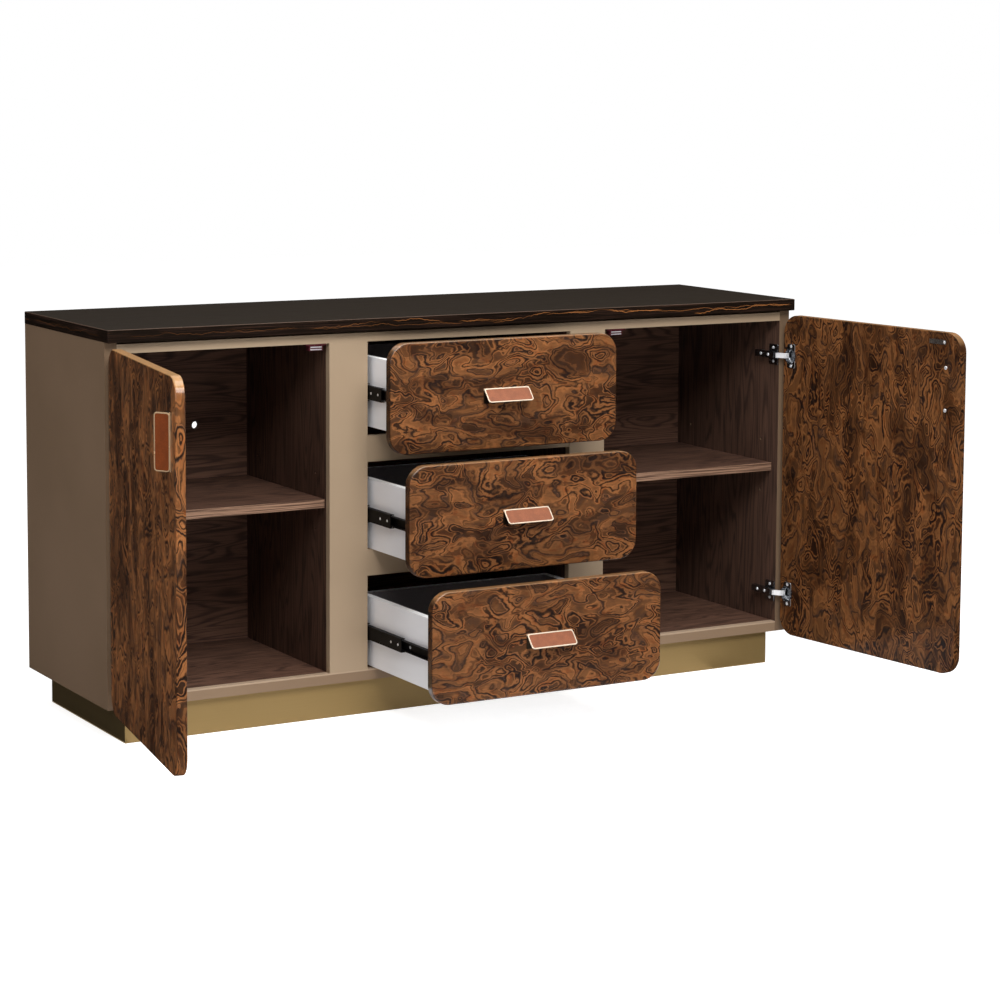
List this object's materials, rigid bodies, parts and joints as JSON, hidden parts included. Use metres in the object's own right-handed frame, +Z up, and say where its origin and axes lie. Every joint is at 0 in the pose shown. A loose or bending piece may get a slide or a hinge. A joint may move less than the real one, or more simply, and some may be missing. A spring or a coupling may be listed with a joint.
{
  "type": "sideboard",
  "caption": "Wide sideboard with a dark top, burl veneered doors and drawers with leather pulls, open cupboards with shelves and a brass plinth.",
  "frame": {"origin": "middle of the top slab's plan, on the floor", "axes": "+X to the right seen from the front, +Y to the back, +Z up; doors and drawers face -Y"},
  "size_m": [1.7674, 0.9761, 0.81],
  "materials": {
    "dark_wood_top": "satin, near-black brown with fine gold-brown veins on the edge",
    "taupe_lacquer": "satin taupe lacquer outside, dark walnut laminate inside",
    "walnut_laminate": "matt dark walnut laminate",
    "burl_veneer": "high gloss burl veneer",
    "grey_drawer_board": "light grey outside, dark inside",
    "brushed_brass": "brushed satin brass",
    "champagne_metal": "polished champagne gold",
    "tan_leather": "smooth tan leather",
    "chrome": "polished",
    "steel": "zinc plated",
    "black_steel": "black",
    "catch_plastic": "dull plum grey"
  },
  "bodies": {
    "case": {"top_slab": "dark_wood_top", "left_side_panel": "taupe_lacquer", "right_side_panel": "taupe_lacquer", "case_floor": "walnut_laminate", "case_ceiling": "walnut_laminate", "back_panel": "walnut_laminate", "bottom_rail": "taupe_lacquer", "top_rail": "taupe_lacquer", "front_stiles": "taupe_lacquer", "drawer_divider_rails": "taupe_lacquer", "cupboard_walls": "walnut_laminate", "drawer_bay_walls": "walnut_laminate", "left_shelf": "walnut_laminate", "right_shelf": "walnut_laminate", "shelf_supports": "steel", "plinth_long_rails": "brushed_brass", "plinth_cross_rails": "brushed_brass", "magnet_catches": "catch_plastic", "hinge_arms": "chrome", "hinge_plates": "chrome", "outer_runners": "black_steel"},
    "left_links": {"left_hinge_links": "chrome"},
    "left_door": {"left_door_panel": "burl_veneer", "left_door_hinge_cups": "chrome", "left_door_handle_screws": "steel", "left_door_strike_plate": "steel", "left_door_handle": "champagne_metal", "left_door_leather": "tan_leather"},
    "right_links": {"right_hinge_links": "chrome"},
    "right_door": {"right_door_panel": "burl_veneer", "right_door_hinge_cups": "chrome", "right_door_handle_screws": "steel", "right_door_strike_plate": "steel", "right_door_handle": "champagne_metal", "right_door_leather": "tan_leather"},
    "upper_drawer": {"upper_drawer_front": "burl_veneer", "upper_drawer_box_sides": "grey_drawer_board", "upper_drawer_box_ends": "grey_drawer_board", "upper_drawer_box_bottom": "grey_drawer_board", "upper_drawer_handle": "champagne_metal", "upper_drawer_leather": "tan_leather", "upper_drawer_inner_runners": "black_steel"},
    "upper_drawer_mid_runners": {"upper_drawer_middle_runners": "black_steel"},
    "middle_drawer": {"middle_drawer_front": "burl_veneer", "middle_drawer_box_sides": "grey_drawer_board", "middle_drawer_box_ends": "grey_drawer_board", "middle_drawer_box_bottom": "grey_drawer_board", "middle_drawer_handle": "champagne_metal", "middle_drawer_leather": "tan_leather", "middle_drawer_inner_runners": "black_steel"},
    "middle_drawer_mid_runners": {"middle_drawer_middle_runners": "black_steel"},
    "lower_drawer": {"lower_drawer_front": "burl_veneer", "lower_drawer_box_sides": "grey_drawer_board", "lower_drawer_box_ends": "grey_drawer_board", "lower_drawer_box_bottom": "grey_drawer_board", "lower_drawer_handle": "champagne_metal", "lower_drawer_leather": "tan_leather", "lower_drawer_inner_runners": "black_steel"},
    "lower_drawer_mid_runners": {"lower_drawer_middle_runners": "black_steel"}
  },
  "joints": [
    {"name": "left_link_swing", "type": "hinge", "parent": "case", "child": "left_links", "pos_m": [-0.765, -0.2105, 0.6865], "axis": [0, 0, -1], "range_deg": [-1.8, 32.78]},
    {"name": "left_door_swing", "type": "hinge", "parent": "left_links", "child": "left_door", "pos_m": [-0.78388, -0.22678, 0.6865], "axis": [0, 0, -1], "range_deg": [-131.47, 4.9]},
    {"name": "right_link_swing", "type": "hinge", "parent": "case", "child": "right_links", "pos_m": [0.765, -0.2105, 0.6865], "axis": [0, 0, 1], "range_deg": [-2.84, 31.74]},
    {"name": "right_door_swing", "type": "hinge", "parent": "right_links", "child": "right_door", "pos_m": [0.78417, -0.22644, 0.6865], "axis": [0, 0, 1], "range_deg": [-127.24, 9.14]},
    {"name": "upper_drawer_slide", "type": "slide", "parent": "case", "child": "upper_drawer", "axis": [0, -1, 0], "range_m": [-0.124, 0.216]},
    {"name": "upper_mid_runner_slide", "type": "slide", "parent": "case", "child": "upper_drawer_mid_runners", "axis": [0, -1, 0], "range_m": [-0.062, 0.108]},
    {"name": "middle_drawer_slide", "type": "slide", "parent": "case", "child": "middle_drawer", "axis": [0, -1, 0], "range_m": [-0.205, 0.135]},
    {"name": "middle_mid_runner_slide", "type": "slide", "parent": "case", "child": "middle_drawer_mid_runners", "axis": [0, -1, 0], "range_m": [-0.1025, 0.0675]},
    {"name": "lower_drawer_slide", "type": "slide", "parent": "case", "child": "lower_drawer", "axis": [0, -1, 0], "range_m": [-0.299, 0.041]},
    {"name": "lower_mid_runner_slide", "type": "slide", "parent": "case", "child": "lower_drawer_mid_runners", "axis": [0, -1, 0], "range_m": [-0.1495, 0.0205]}
  ],
  "couplings": [
    {"joint": "left_link_swing", "follows": "left_door_swing", "ratio": -0.24471},
    {"joint": "right_link_swing", "follows": "right_door_swing", "ratio": -0.24471},
    {"joint": "upper_mid_runner_slide", "follows": "upper_drawer_slide", "ratio": 0.5},
    {"joint": "middle_mid_runner_slide", "follows": "middle_drawer_slide", "ratio": 0.5},
    {"joint": "lower_mid_runner_slide", "follows": "lower_drawer_slide", "ratio": 0.5}
  ]
}
